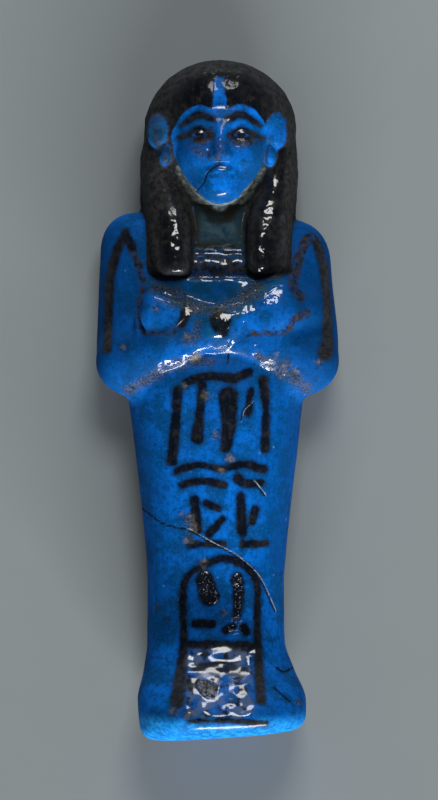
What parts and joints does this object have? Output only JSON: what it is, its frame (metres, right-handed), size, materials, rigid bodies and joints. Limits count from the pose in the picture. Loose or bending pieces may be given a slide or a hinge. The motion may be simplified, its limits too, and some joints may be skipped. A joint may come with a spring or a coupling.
{
  "type": "ushabti figurine",
  "caption": "Solid mummiform funerary figurine with a tripartite wig, crossed arms and a projecting foot, lying on its flattened back.",
  "frame": {"origin": "on the surface the figure lies on, under the middle of its length and width", "axes": "+Y from the sole to the crown of the head, +Z out of the chest and face, +X to the figure's left side"},
  "size_m": [0.0412, 0.1153, 0.0244],
  "materials": {
    "glazed_faience": "glossy vivid blue alkaline glaze over a sandy body, with a black glazed wig and black brush lines, crazed, pitted and worn in places"
  },
  "bodies": {
    "root": {"figurine": "glazed_faience"}
  },
  "joints": []
}
